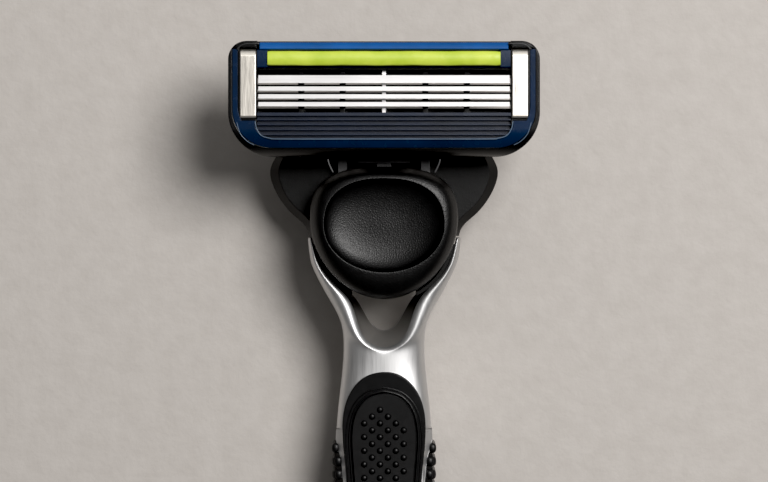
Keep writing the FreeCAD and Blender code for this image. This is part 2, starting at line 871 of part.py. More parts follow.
def back_grip(region, skin, core):
    """Rubber skin over the back and lower sides, with ribs down both sides and a flat land below."""
    shell = skin.common(region).cut(core)
    slabs = []
    for number in range(side_rib_count):
        y = rib_first_y - number * rib_pitch
        slabs.append(box(-20, 20, y - rib_width_y / 2, y + rib_width_y / 2, 2.4, 20))
    ribs = handle_solid(rib_proud + 0.05).common(slabs[0].fuse(slabs[1:]))
    ribs = ribs.common(region).cut(core)
    land = rest_land(0.0, rest_land_height).cut(core)
    land = land.fuse(rest_land(0.0, rubber_thickness))
    rubber = shell.fuse([ribs, land]).common(box(-20, 20, -80, 80, 0.0, 30))
    return rubber.cut(bezel_plate(bezel_floor, 20))


def core_block(grow):
    return box(
        -core_half - grow, core_half + grow, tail_joint + 3.0 - grow, ball_y - 26.0 + grow,
        core_z0 - grow, core_z1 + grow,
    )


def handle_core():
    core = core_block(0.0)
    return round_edges(core, 0.8, lambda p: abs(p.y) < 30 and abs(abs(p.x) - core_half) < 0.01)


def fork_notch():
    """Cutter between the arms: wide at the front, narrower at the back."""
    front = [
        (8.9, -0.8), (6.5, -6.2), (4.9, -8.4), (3.95, -10.7),
        (3.4, -13.2), (2.5, -14.85), (1.1, -15.7), (0.0, -16.05),
    ]
    back = [
        (7.0, -3.5), (5.6, -6.2), (4.3, -8.2), (3.2, -9.9),
        (2.5, -11.2), (1.75, -12.5), (0.9, -13.35), (0.0, -13.6),
    ]
    wires = []
    for half, z in ((front, 14.6), (back, 4.0)):
        right = [(x, ball_y + y) for x, y in half]
        left = [(-x, y) for x, y in right[-2::-1]]
        start = right[0]
        end = left[-1]
        wires.append(closed_patch([right + left, [end, start]], z))
    return Part.makeLoft(wires, True, True)


def wing_sweep():
    """Room under the fork's tips for the yoke's wings as they swing."""
    return box(-30, 30, ball_y - 3.4, ball_y + 30, yoke_z0 - 1.0, yoke_z1 + 0.45)


def ball_cavity(radius):
    return ball(radius).fuse(post(0, ball_y, ball_z, 20, radius))


def swivel_cradle():
    outer = ball_cavity(cavity_radius)
    inner = ball_cavity(ball_radius + swivel_gap)
    liner = outer.cut(inner).common(slab(cradle_floor_z1 - 0.8, ball_z + 3.4))
    liner = liner.common(box(-30, 30, ball_y - 30, ball_y - 1.6, 0, 30))
    liner = liner.cut([box(-4.4, 4.4, ball_y - 30, ball_y, 0, 30), wing_sweep()])
    floor = post(0, ball_y, cradle_floor_z0, cradle_floor_z1, 4.2)
    leg_end_x = 6.3
    leg_end_y = ball_y - 4.6
    leg = patch_prism(
        [
            [(0, ball_y + 2.0), (leg_end_x + 1.3, leg_end_y + 1.7)],
            [(leg_end_x + 1.3, leg_end_y + 1.7), (leg_end_x - 0.4, leg_end_y - 1.6)],
            [(leg_end_x - 0.4, leg_end_y - 1.6), (0, ball_y - 2.0)],
            [(0, ball_y - 2.0), (0, ball_y + 2.0)],
        ],
        cradle_floor_z0, cradle_floor_z1,
    )
    cradle = liner.fuse([floor, leg, mirrored(leg)])
    return cradle.cut(post(0, ball_y, 0, cradle_floor_z1 + 1, swivel_pin_radius))


def swivel_pin():
    shaft = post(0, ball_y, cradle_floor_z0, swivel_pin_top, swivel_pin_radius)
    head = post(0, ball_y, cradle_floor_z0 - 0.6, cradle_floor_z0, swivel_pin_radius + 0.9)
    return shaft.fuse(head)


def centering_spring():
    path = Part.makeHelix(0.45, 0.9, 2.3)
    circle = Part.makeCircle(0.16, V(2.3, 0, 0), V(0, 1, 0))
    coil = Part.Wire(path.Edges).makePipeShell([Part.Wire([circle])], True, True)
    coil.translate(V(0, ball_y, cradle_floor_z1 + 0.16))
    return coil


def tail_cap():
    """Rounded end: sections shrink along an ellipse."""
    _, half, top, low = handle_stations()[-1]
    middle = (top + low) / 2
    deep = (top - low) / 2
    wires = []
    for share in (0.0, 0.35, 0.65, 0.85, 0.96, 1.0):
        scale = max(math.sqrt(1 - share * share), 0.12)
        y = tail_joint - tail_cap_length * share
        ring = Part.Ellipse(V(0, y, middle), max(half, deep) * scale, min(half, deep) * scale)
        ring.Axis = V(0, 1, 0)
        ring.XAxis = V(1, 0, 0) if half >= deep else V(0, 0, 1)
        wires.append(Part.Wire([ring.toShape()]))
    return Part.makeLoft(wires, True, False)


def handle_parts():
    outer = handle_solid()
    skin_inside = handle_solid(-rubber_thickness)
    region = back_region()
    cradle = swivel_cradle()
    rubber = back_grip(region, outer, skin_inside)
    frame = outer.cut([fork_notch(), wing_sweep(), ball_cavity(cavity_radius)])
    frame = frame.cut(region.cut(skin_inside))
    frame = frame.cut([bezel_plate(bezel_floor, 20), core_block(0.0), cradle])
    frame = frame.cut(rest_land(-1.0, rest_land_height))
    return frame, rubber, cradle


# ---- Build -------------------------------------------------------------------------------------

export("cartridge_housing", cartridge_housing())
export("guard_frame", guard_frame())
export("guard_fins", guard_fins())
export("strip_tray", strip_tray())
export("lubricating_strip", lubricating_strip())
export("clip_right", clip_solid())
export("clip_left", mirrored(clip_solid()))
export("blade_spine", blade_spine())
for number in range(blade_count):
    export("blade_" + str(number + 1), blade(number))
    export("blade_support_" + str(number + 1), blade_support(number))
export("yoke", yoke())
export("pod_body", pod_body())
export("pod_cover", pod_cover())
export("eject_button", eject_button())
export("ejector_prongs", ejector_prongs())
export("button_spring", button_spring())
export("plunger", plunger())
export("plunger_spring", plunger_spring())
frame, rubber, cradle = handle_parts()
export("handle_frame", frame)
export("back_grip", rubber)
export("swivel_cradle", cradle)
export("swivel_pin", swivel_pin())
export("centering_spring", centering_spring())
export("handle_core", handle_core())
export("grip_bezel", grip_bezel())
export("grip_pad", grip_pad())
export("tail_cap", tail_cap())
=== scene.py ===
import json
import math

import bpy
import bmesh
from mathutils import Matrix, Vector


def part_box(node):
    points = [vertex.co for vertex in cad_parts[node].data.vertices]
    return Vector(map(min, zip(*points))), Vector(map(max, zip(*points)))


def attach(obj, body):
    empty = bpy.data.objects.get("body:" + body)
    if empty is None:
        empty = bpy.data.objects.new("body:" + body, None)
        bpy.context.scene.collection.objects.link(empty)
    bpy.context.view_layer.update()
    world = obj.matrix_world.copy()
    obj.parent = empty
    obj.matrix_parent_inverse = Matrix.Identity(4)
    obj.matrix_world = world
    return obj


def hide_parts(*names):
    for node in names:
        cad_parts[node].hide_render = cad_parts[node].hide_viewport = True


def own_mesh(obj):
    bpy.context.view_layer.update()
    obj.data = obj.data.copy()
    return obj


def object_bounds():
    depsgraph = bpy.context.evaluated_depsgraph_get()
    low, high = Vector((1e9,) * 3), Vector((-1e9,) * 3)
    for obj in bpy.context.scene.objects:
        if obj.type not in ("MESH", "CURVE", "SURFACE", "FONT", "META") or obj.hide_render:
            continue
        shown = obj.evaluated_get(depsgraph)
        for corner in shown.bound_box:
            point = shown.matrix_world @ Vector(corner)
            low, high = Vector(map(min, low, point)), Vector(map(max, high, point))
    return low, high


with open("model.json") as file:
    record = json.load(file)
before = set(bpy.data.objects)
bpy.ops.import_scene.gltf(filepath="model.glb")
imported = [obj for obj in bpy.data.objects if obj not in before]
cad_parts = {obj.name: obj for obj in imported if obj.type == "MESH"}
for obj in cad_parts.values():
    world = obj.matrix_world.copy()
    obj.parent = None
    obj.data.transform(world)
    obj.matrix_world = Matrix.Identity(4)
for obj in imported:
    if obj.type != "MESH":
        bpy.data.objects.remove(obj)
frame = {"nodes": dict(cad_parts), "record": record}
nodes = frame["nodes"]
cad_low, cad_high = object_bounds()

MM = 0.001
OUTSIDE = 0.03               # a start for rays from beside the handle, in metres

# ---- Camera, light and floor ------------------------------------------------------------

VIEW_WIDTH = 0.1034          # metres across the picture at the height of the face
VIEW_Y = 0.0445              # middle of the picture along the razor
CAMERA_HEIGHT = 0.55
SENSOR = 36.0
FLOOR_HALF = 1.5
BLACK_LEVEL = 0.005


def add_camera():
    """Camera straight above, looking down on the face of the razor."""
    data = bpy.data.cameras.new("camera")
    data.sensor_width = SENSOR
    data.lens = SENSOR * (CAMERA_HEIGHT - cad_high.z) / VIEW_WIDTH
    camera = bpy.data.objects.new("camera", data)
    camera.location = (0, VIEW_Y, CAMERA_HEIGHT)
    bpy.context.scene.collection.objects.link(camera)
    bpy.context.scene.camera = camera


def add_light(name, location, target, size, power, colour):
    """Round softbox aimed at a point."""
    data = bpy.data.lights.new(name, "AREA")
    data.shape = "DISK"
    data.size = size
    data.energy = power
    data.color = colour
    light = bpy.data.objects.new(name, data)
    light.location = location
    light.rotation_euler = (Vector(target) - Vector(location)).to_track_quat("-Z", "Y").to_euler()
    bpy.context.scene.collection.objects.link(light)


def add_world(colour, strength):
    """Even dim light from all round."""
    world = bpy.data.worlds.new("studio")
    world.use_nodes = True
    background = world.node_tree.nodes["Background"]
    background.inputs["Color"].default_value = (*colour, 1)
    background.inputs["Strength"].default_value = strength
    bpy.context.scene.world = world


# ---- Material helpers -------------------------------------------------------------------

NOISE_ROUGHNESS = 0.55


class Shader:
    """A Principled material with short calls for procedural detail."""

    def __init__(self, name, colour, roughness, metallic=0.0, **values):
        self.material = bpy.data.materials.new(name)
        self.material.use_nodes = True
        self.tree = self.material.node_tree
        self.main = self.tree.nodes["Principled BSDF"]
        self.main.inputs["Base Color"].default_value = (*colour, 1)
        self.main.inputs["Roughness"].default_value = roughness
        self.main.inputs["Metallic"].default_value = metallic
        self.bumped = None
        for key, value in values.items():
            self.main.inputs[key.replace("_", " ")].default_value = value

    def round_edges(self, radius):
        """Soft highlights along moulded or sheared edges; comes before any bump."""
        made = self.tree.nodes.new("ShaderNodeBevel")
        made.samples = 4
        made.inputs["Radius"].default_value = radius
        self.bumped = made.outputs["Normal"]
        self.link(self.bumped, self.main.inputs["Normal"])
        return self

    def node(self, kind, **values):
        made = self.tree.nodes.new(kind)
        for key, value in values.items():
            made.inputs[key.replace("_", " ")].default_value = value
        return made

    def link(self, source, target):
        self.tree.links.new(source, target)

    def place(self, stretch=(1, 1, 1)):
        """Object coordinates, stretched for grain that runs one way."""
        where = self.node("ShaderNodeTexCoord")
        mapping = self.node("ShaderNodeMapping", Scale=stretch)
        self.link(where.outputs["Object"], mapping.inputs["Vector"])
        return mapping.outputs["Vector"]

    def noise(self, scale, detail=3.0, stretch=(1, 1, 1)):
        made = self.node("ShaderNodeTexNoise", Scale=scale, Detail=detail, Roughness=NOISE_ROUGHNESS)
        self.link(self.place(stretch), made.inputs["Vector"])
        return made.outputs["Fac"]

    def cells(self, scale):
        """Distance to the edge of rounded cells, for a pebbled grain."""
        made = self.node("ShaderNodeTexVoronoi", Scale=scale)
        made.feature = "DISTANCE_TO_EDGE"
        self.link(self.place(), made.inputs["Vector"])
        return made.outputs["Distance"]

    def bump(self, height, distance):
        """Surface texture on top of any earlier bump or rounded edge; distance in metres."""
        made = self.node("ShaderNodeBump", Strength=1.0, Distance=distance)
        self.link(height, made.inputs["Height"])
        if self.bumped is not None:
            self.link(self.bumped, made.inputs["Normal"])
        self.bumped = made.outputs["Normal"]
        self.link(self.bumped, self.main.inputs["Normal"])

    def vary_roughness(self, source, low, high):
        made = self.node("ShaderNodeMapRange")
        made.inputs["To Min"].default_value = low
        made.inputs["To Max"].default_value = high
        self.link(source, made.inputs["Value"])
        self.link(made.outputs["Result"], self.main.inputs["Roughness"])

    def vary_colour(self, source, low, high, start=0.35, end=0.65):
        """Colour from low to high as the source goes from start to end."""
        ramp = self.tree.nodes.new("ShaderNodeValToRGB")
        ramp.color_ramp.elements[0].position = start
        ramp.color_ramp.elements[1].position = end
        ramp.color_ramp.elements[0].color = (*low, 1)
        ramp.color_ramp.elements[1].color = (*high, 1)
        self.link(source, ramp.inputs["Fac"])
        self.link(ramp.outputs["Color"], self.main.inputs["Base Color"])


def scaled(colour, factor):
    """A lighter or darker copy of a colour."""
    return tuple(min(1.0, c * factor) for c in colour)


# ---- Materials ---------------------------------------------------------------------------

METAL_GRAIN = 0.000008
SILVER = (0.64, 0.64, 0.64)
# the notch walls' painted shade runs from light at NOTCH_SADDLE_Y to dark at NOTCH_ARMS_Y
NOTCH_SADDLE_Y = 0.0305
NOTCH_ARMS_Y = 0.0365
SOFT_BLACK = 0.3             # specular level of the black and blue mouldings


def moulded(name, colour, roughness, grain=0.000012, edge=0.00012, **values):
    """Moulded plastic: slight flow marks in colour, fine surface texture."""
    shader = Shader(name, colour, roughness, **values).round_edges(edge)
    shader.vary_colour(shader.noise(180.0), scaled(colour, 0.85), scaled(colour, 1.2))
    shader.vary_roughness(shader.noise(900.0), roughness * 0.85, roughness * 1.25)
    shader.bump(shader.noise(6000.0, 2.0), grain)
    return shader.material


def leather_grain(name, colour, roughness, size, depth, **values):
    """Soft-touch plastic with a pebbled grain."""
    shader = Shader(name, colour, roughness, **values)
    shader.vary_colour(shader.noise(400.0), scaled(colour, 0.75), scaled(colour, 1.35))
    shader.vary_roughness(shader.noise(1500.0), roughness * 0.85, roughness * 1.2)
    shader.bump(shader.cells(size), depth)
    shader.bump(shader.noise(size * 2.2, 2.0), depth * 0.5)
    return shader.material


def satin_metal(name, colour, roughness, stretch, edge=0.00005):
    """Plated or rolled metal: fine grain along one direction, faint blotches."""
    shader = Shader(name, colour, roughness, metallic=1.0).round_edges(edge)
    shader.vary_colour(shader.noise(120.0), scaled(colour, 0.93), scaled(colour, 1.05))
    shader.vary_roughness(shader.noise(2500.0, 3.0, stretch), roughness * 0.75, roughness * 1.3)
    shader.bump(shader.noise(5000.0, 3.0, stretch), METAL_GRAIN)
    return shader.material


def waxy_strip(name):
    """Soft lubricating wax, slightly translucent and mottled."""
    shader = Shader(name, (0.55, 0.68, 0.06), 0.42, Subsurface_Weight=0.2)
    shader.main.inputs["Subsurface Radius"].default_value = (0.0012, 0.0012, 0.0004)
    shader.vary_colour(shader.noise(260.0, 4.0), (0.47, 0.60, 0.045), (0.60, 0.71, 0.085))
    shader.bump(shader.noise(700.0, 3.0), 0.00004)
    shader.bump(shader.noise(4000.0, 2.0), 0.00001)
    return shader.material


def notch_metal(name):
    """Satin metal of the notch walls with painted shade: light on the saddle, dark beside the cap."""
    shader = Shader(name, (0.3, 0.29, 0.28), 0.5, metallic=1.0)
    shader.round_edges(0.00015)
    axes = shader.node("ShaderNodeSeparateXYZ")
    shader.link(shader.place(), axes.inputs["Vector"])
    height = shader.node("ShaderNodeMapRange")
    height.inputs["From Min"].default_value = NOTCH_SADDLE_Y
    height.inputs["From Max"].default_value = NOTCH_ARMS_Y
    shader.link(axes.outputs["Y"], height.inputs["Value"])
    shader.vary_colour(height.outputs["Result"], (0.78, 0.76, 0.73), (0.03, 0.029, 0.028), 0.0, 0.85)
    shader.bump(shader.noise(2600.0, 3.0), 0.00003)
    return shader.material


finishes = {
    # a lighter copy of blue_trim: painted highlight on the tray's back band
    "painted_lit_blue_band": moulded("painted_lit_blue_band", (0.002, 0.075, 0.27), 0.3, edge=0.0001, Specular_IOR_Level=SOFT_BLACK),
    # a lighter black: painted highlight along the cheeks' back corners
    "cheek_gloss": moulded("cheek_gloss", (0.02, 0.02, 0.021), 0.35),
    # a light blue-grey: painted highlight along the guard's edges
    "edge_gloss": moulded("edge_gloss", (0.10, 0.15, 0.22), 0.25),
    "elastomer": moulded("elastomer", (0.003, 0.009, 0.026), 0.3, edge=0.00008),
    "lime_strip": waxy_strip("lime_strip"),
    "clip_metal": satin_metal("clip_metal", (0.82, 0.78, 0.71), 0.3, (1, 0.1, 1)),
    "blade_steel": satin_metal("blade_steel", (0.78, 0.77, 0.77), 0.32, (0.05, 1, 1)),
    # supports painted near black as painted shade in the gaps between the blades; the steel itself is bright
    "support_steel": satin_metal("support_steel", (0.05, 0.05, 0.052), 0.45, (0.05, 1, 1)),
    "grey_plastic": moulded("grey_plastic", (0.05, 0.05, 0.052), 0.35),
    "spring_steel": satin_metal("spring_steel", (0.6, 0.6, 0.6), 0.3, (1, 1, 1)),
    "satin_silver": satin_metal("satin_silver", SILVER, 0.47, (1, 0.08, 1), edge=0.00015),
    "painted_shade_silver": notch_metal("painted_shade_silver"),
    "core_plastic": moulded("core_plastic", (0.03, 0.03, 0.03), 0.5),
    "black_housing": moulded(
        "black_housing", (0.002, 0.002, 0.0022), 0.24, edge=0.0003, Specular_IOR_Level=SOFT_BLACK
    ),
    "blue_trim": moulded(
        "blue_trim", (0.0006, 0.0125, 0.042), 0.25, edge=0.0001, Specular_IOR_Level=0.22
    ),
    "black_yoke": moulded(
        "black_yoke", (0.002, 0.002, 0.002), 0.34, edge=0.0002, Specular_IOR_Level=0.22
    ),
    "black_pod": moulded("black_pod", (0.002, 0.002, 0.002), 0.35, Specular_IOR_Level=0.2),
    "black_bezel": moulded(
        "black_bezel", (0.003, 0.003, 0.0032), 0.3, edge=0.0003, Specular_IOR_Level=SOFT_BLACK
    ),
    "black_button": leather_grain(
        "black_button", (0.0018, 0.0018, 0.0019), 0.36, 3200.0, 0.00003, Specular_IOR_Level=SOFT_BLACK
    ),
    "grip_rubber": leather_grain(
        "grip_rubber", (0.003, 0.003, 0.0032), 0.36, 4500.0, 0.000012, Specular_IOR_Level=SOFT_BLACK
    ),
}

slot_of = {s["node"]: s["material_slot"] for s in frame["record"]["subparts"]}


def finish_cad_nodes():
    """Give every CAD piece the finish of its material slot."""
    for name, piece in nodes.items():
        piece.data.materials.clear()
        piece.data.materials.append(finishes[slot_of[name]])


# ---- Replacement pieces -------------------------------------------------------------------


def add_object(name, mesh, body, slot_name):
    """A piece that rides on a body; slot_name is not used."""
    piece = bpy.data.objects.new(name, mesh)
    bpy.context.scene.collection.objects.link(piece)
    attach(piece, body)
    return piece


def add_mesh(name, vertices, faces, body, material, smooth_angle, slot_name=None):
    """A piece from vertices in metres; edges sharper than smooth_angle degrees stay crisp."""
    mesh = bpy.data.meshes.new(name)
    mesh.from_pydata(vertices, [], faces)
    mesh.validate()
    mesh.materials.append(finishes[material])
    shade(mesh, smooth_angle)
    return add_object(name, mesh, body, slot_name or material)


def shade(mesh, angle):
    """Smooth shading, with edges sharper than the angle kept crisp."""
    work = bmesh.new()
    work.from_mesh(mesh)
    bmesh.ops.recalc_face_normals(work, faces=work.faces)
    limit = math.radians(angle)
    for face in work.faces:
        face.smooth = True
    for edge in work.edges:
        edge.smooth = len(edge.link_faces) == 2 and edge.calc_face_angle(0.0) < limit
    work.to_mesh(mesh)
    work.free()


def subdivide(piece, levels):
    """Smooth a cage of faces."""
    modifier = piece.modifiers.new("subdivision", "SUBSURF")
    modifier.levels = levels
    modifier.render_levels = levels


def ring_mesh(rings, close_start=False, close_end=False):
    """Vertices and faces of rings of points, skinned one to the next; an end closes on its middle."""
    count = len(rings[0])
    vertices = [point for ring in rings for point in ring]
    faces = []
    for r in range(len(rings) - 1):
        for i in range(count):
            j = (i + 1) % count
            faces.append((r * count + i, r * count + j, (r + 1) * count + j, (r + 1) * count + i))
    for wanted, start in ((close_start, 0), (close_end, (len(rings) - 1) * count)):
        if wanted:
            ring = vertices[start:start + count]
            middle = tuple(sum(p[k] for p in ring) / count for k in range(3))
            vertices.append(middle)
            hub = len(vertices) - 1
            for i in range(count):
                faces.append((start + i, start + (i + 1) % count, hub))
    return vertices, faces


def join(vertices, faces, added):
    """Append the (vertices, faces) of another closed shape."""
    start = len(vertices)
    vertices += added[0]
    faces += [tuple(start + i for i in face) for face in added[1]]


def power(value, exponent):
    """Power that keeps the sign, for rounded-square outlines."""
    return math.copysign(abs(value) ** exponent, value)


def egg(turn, half_width, half_length):
    """Cap outline: flatter towards the head, more pointed towards the handle."""
    waist = 0.2              # widest this far up from the middle
    x = math.cos(turn)
    y = math.sin(turn)
    bulge = 2 / 2.6 if y > 0 else 2 / 1.9
    reach = 1 - waist if y > 0 else 1 + waist
    return half_width * power(x, bulge), half_length * (waist + reach * power(y, bulge))


def add_button():
    """Dished thumb button: sloped wall, rounded rim and an oval hollow."""
    low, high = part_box("eject_button")
    half_width = (high.x - low.x) / 2
    half_length = (high.y - low.y) / 2
    middle_y = (high.y + low.y) / 2
    crest = high.z
    base = crest - 3.2 * MM
    dish_x = half_width - 2.0 * MM
    dish_y = half_length - 2.9 * MM
    dish_middle = middle_y + 0.9 * MM
    head_room = 0.3 * MM     # drawn back here, so that the pressed cap stays clear of the cartridge
    wall = [(0.88, 0.0), (0.95, 0.0), (0.985, 0.16), (1.0, 0.5), (0.995, 1.0), (0.98, 1.5), (0.955, 1.95)]
    rim = [(0.08, 2.35), (0.3, 2.75), (0.55, 3.02), (0.8, 3.16), (0.94, 3.2), (0.985, 3.17)]
    hollow = [(1.0, 3.02), (0.985, 2.78), (0.955, 2.5), (0.9, 2.2), (0.8, 1.88), (0.62, 1.6), (0.35, 1.42)]
    turns = [2 * math.pi * (i + 0.5) / 72 for i in range(72)]

    def outer(turn, scale):
        x, y = egg(turn, half_width, half_length)
        return x * scale, middle_y + y * scale - head_room * max(0.0, y / half_length) ** 4

    def oval(turn, scale):
        squareness = 2 / 2.35 if math.sin(turn) > 0 else 1.0
        x = dish_x * scale * power(math.cos(turn), squareness)
        return x, dish_middle + dish_y * scale * power(math.sin(turn), squareness)

    rings = []
    for scale, z in wall:
        rings.append([(*outer(t, scale), base + z * MM) for t in turns])
    for share, z in rim:
        ring = []
        for t in turns:
            ax, ay = outer(t, 0.945)
            bx, by = oval(t, 1.0)
            ring.append((ax + (bx - ax) * share, ay + (by - ay) * share, base + z * MM))
        rings.append(ring)
    for scale, z in hollow:
        rings.append([(*oval(t, scale), base + z * MM) for t in turns])
    piece = add_mesh("thumb_button", *ring_mesh(rings, True, True), "button", "black_button", 80.0)
    subdivide(piece, 2)
    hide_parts("eject_button")


def surface_height(node_name):
    """A function giving the top of a CAD node at (x, y)."""
    piece = nodes[node_name]
    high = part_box(node_name)[1]

    def height(x, y):
        hit, place, _, _ = piece.ray_cast(Vector((x, y, high.z + 0.01)), Vector((0, 0, -1)))
        return place.z if hit else None

    return height


# ---- Grip pad dots and lubricating strip ---------------------------------------------------

DOT_PITCH = 1.08 * MM
DOT_RADIUS = 0.47 * MM
DOT_HEIGHT = 0.4 * MM


def add_dots():
    """Staggered rubber domes over the grip pad, clear of its rim."""
    low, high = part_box("grip_pad")
    height = surface_height("grip_pad")
    columns = 3
    row_pitch = DOT_PITCH * math.sqrt(3)
    edge = 0.72 * MM
    vertices = []
    faces = []
    turns = [2 * math.pi * i / 14 for i in range(14)]
    levels = (0.0, 0.3, 0.58, 0.82)
    for row in range(int((high.y - low.y) / (row_pitch / 2))):
        y = high.y - 1.2 * MM - row * row_pitch / 2
        for column in range(-columns, columns):
            if (column + row) % 2:
                continue
            x = (column + 0.5) * DOT_PITCH
            if y > high.y - 2.1 * MM - 0.8 * (abs(x) - 0.6 * MM):
                continue
            around = [height(x + dx, y + dy) for dx, dy in ((edge, 0), (-edge, 0), (0, edge), (0, -edge))]
            top = height(x, y)
            if top is None or None in around or min(around) < top - 0.35 * MM:
                continue
            rings = []
            for level in levels:
                radius = DOT_RADIUS * math.cos(level * math.pi / 2)
                z = top - 0.06 * MM + DOT_HEIGHT * math.sin(level * math.pi / 2)
                rings.append([(x + radius * math.cos(t), y + radius * math.sin(t), z) for t in turns])
            join(vertices, faces, ring_mesh(rings, True, True))
    add_mesh("grip_dots", vertices, faces, "handle", "grip_rubber", 60.0)


def add_strip():
    """Lubricating strip: soft crowned bar with slightly uneven edges."""
    low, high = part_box("lubricating_strip")
    steps = 130
    rings = []
    for step in range(steps + 1):
        share = step / steps
        x = low.x + (high.x - low.x) * share
        end = min(share, 1 - share) * steps
        pull = (0.0 if end > 2 else (0.05, 0.01, 0.0)[int(end)]) * MM
        wave = 0.022 * MM * math.sin(share * 23.0) + 0.012 * MM * math.sin(share * 61.0 + 1.0)
        y0 = low.y + 0.06 * MM + wave + pull
        y1 = high.y - 0.06 * MM + wave * 0.6 - pull
        top = high.z - pull * 0.6 + wave * 0.3 - 0.03 * MM
        rings.append([
            (x, y0, low.z), (x, y0, top - 0.25 * MM), (x, y0 + 0.16 * MM, top - 0.05 * MM),
            (x, (y0 + y1) / 2, top),
            (x, y1 - 0.16 * MM, top - 0.05 * MM), (x, y1, top - 0.25 * MM), (x, y1, low.z),
        ])
    piece = add_mesh("strip_bar", *ring_mesh(rings, True, True), "cartridge", "lime_strip", 70.0)
    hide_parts("lubricating_strip")


# ---- Handle: sculpted fork and neck, with the moulded shaft behind them, in mm --------------

SEAM_Y = 18.4                # where the fork's neck meets the shaft
SHAFT_ROUND = 0.3            # the shaft's rounded edges; its end tucks this far into the neck
BALL_Y = 45.7
BALL_Z = 10.0
CAVITY = 9.84                # radius kept clear round the ball
CAVITY_FROM_Y = 35.0
NECK_POINTS = 11             # points of a ring without the notch wall


def at(table, y):
    """Value at y from (y, value) rows in rising y."""
    for (y0, v0), (y1, v1) in zip(table, table[1:]):
        if y <= y1:
            return v0 + (v1 - v0) * max(0.0, (y - y0) / (y1 - y0))
    return table[-1][1]


FRONT_Z = [
    (19.0, 13.55), (20.0, 13.6), (26.0, 13.9), (30.0, 14.1), (36.0, 14.1), (40.0, 14.0), (45.0, 13.9),
]
BACK_Z = [
    (19.0, 1.4), (20.0, 1.6), (26.0, 3.2), (30.0, 4.1), (33.0, 4.6), (35.0, 5.0), (37.0, 5.5),
    (38.9, 6.4), (40.5, 7.6), (42.1, 10.7), (45.0, 10.7),
]

# outer side, crest of the ridge, inner rim, low edge of the notch: (x, y) in mm, right arm
NECK = [
    ((6.55, SEAM_Y), (0.0, SEAM_Y)), ((6.3, 22.0), (0.0, 22.0)), ((5.93, 25.0), (0.0, 24.8)),
    ((5.66, 27.5), (0.0, 27.0)), ((5.57, 29.0), (0.0, 28.3)),
]
ARM = [
    ((5.56, 30.4), (0.0, 29.2), (0.0, 29.9), (0.0, 32.1)),
    ((5.6, 31.6), (1.5, 29.5), (1.2, 30.15), (1.0, 32.4)),
    ((5.75, 32.6), (3.0, 30.5), (2.5, 30.95), (1.8, 33.2)),
    ((6.05, 33.8), (4.05, 32.4), (3.35, 32.5), (2.5, 34.5)),
    ((6.95, 35.6), (4.75, 34.9), (3.95, 35.0), (3.2, 35.7)),
    ((7.95, 37.2), (5.7, 37.0), (4.95, 37.15), (4.1, 37.1)),
    ((8.85, 38.9), (7.55, 38.8), (7.15, 38.95), (5.9, 38.6)),
    ((9.75, 40.7), (8.8, 40.6), (8.5, 40.75), (8.1, 40.3)),
    ((10.25, 42.2), (9.45, 42.15), (9.2, 42.2), (9.25, 42.15)),
    ((10.5, 44.9), (10.02, 44.9), (9.86, 44.9), (9.88, 44.9)),
]


def fork_ring(outer, crest, rim, low, round_share):
    """Points round an arm, or half the neck, from the crest outwards, under and up the notch."""
    points = []

    def put(a, b, share, z):
        x = a[0] + (b[0] - a[0]) * share
        y = a[1] + (b[1] - a[1]) * share
        away = math.hypot(x, y - BALL_Y)
        clear = math.sqrt(max(0.0, CAVITY ** 2 - min(0.0, z - BALL_Z) ** 2))
        if away < clear and y > CAVITY_FROM_Y:
            x *= clear / away
            y = BALL_Y + (y - BALL_Y) * clear / away
        points.append((x * MM, y * MM, z * MM))

    def front(share):
        return at(FRONT_Z, crest[1] + (outer[1] - crest[1]) * share)

    def back(share):
        return at(BACK_Z, low[1] + (outer[1] - low[1]) * share)

    square = ((0.0, 0.0), (0.4, 0.0), (0.8, 0.0), (0.9, 0.65), (1.0, 1.3))
    soft = ((0.0, 0.0), (0.3, 0.08), (0.6, 0.38), (0.86, 1.1), (1.0, 2.3))
    for (s0, d0), (s1, d1) in zip(square, soft):
        share = s0 + (s1 - s0) * round_share
        put(crest, outer, share, front(share) - d0 - (d1 - d0) * round_share)
    z0 = back(1.0)
    z1 = front(1.0)
    put(crest, outer, 1.0, z0 + (z1 - z0) * 0.55)
    put(crest, outer, 1.0, z0 + min(2.0, (z1 - z0) * 0.3))
    put(low, outer, 0.9, back(0.9) + 0.55)
    put(low, outer, 0.65, back(0.65))
    put(low, outer, 0.25, back(0.25))
    put(low, outer, 0.0, back(0.0) + (0.25 if rim else 0.0))
    if rim:
        z0 = back(0.0)
        z1 = at(FRONT_Z, rim[1])
        put(low, rim, 0.08, z0 + (z1 - z0) * 0.14)
        put(low, rim, 0.35, z0 + (z1 - z0) * 0.45)
        put(low, rim, 0.75, z0 + (z1 - z0) * 0.78)
        put(low, rim, 1.0, z1 - 0.5)
    return points


def side_reach(y, z):
    """Half width of the CAD handle at (y, z) in mm."""
    start = Vector((OUTSIDE, y * MM, z * MM))
    hit, place, _, _ = nodes["handle_frame"].ray_cast(start, Vector((-1, 0, 0)))
    return place.x / MM if hit else None


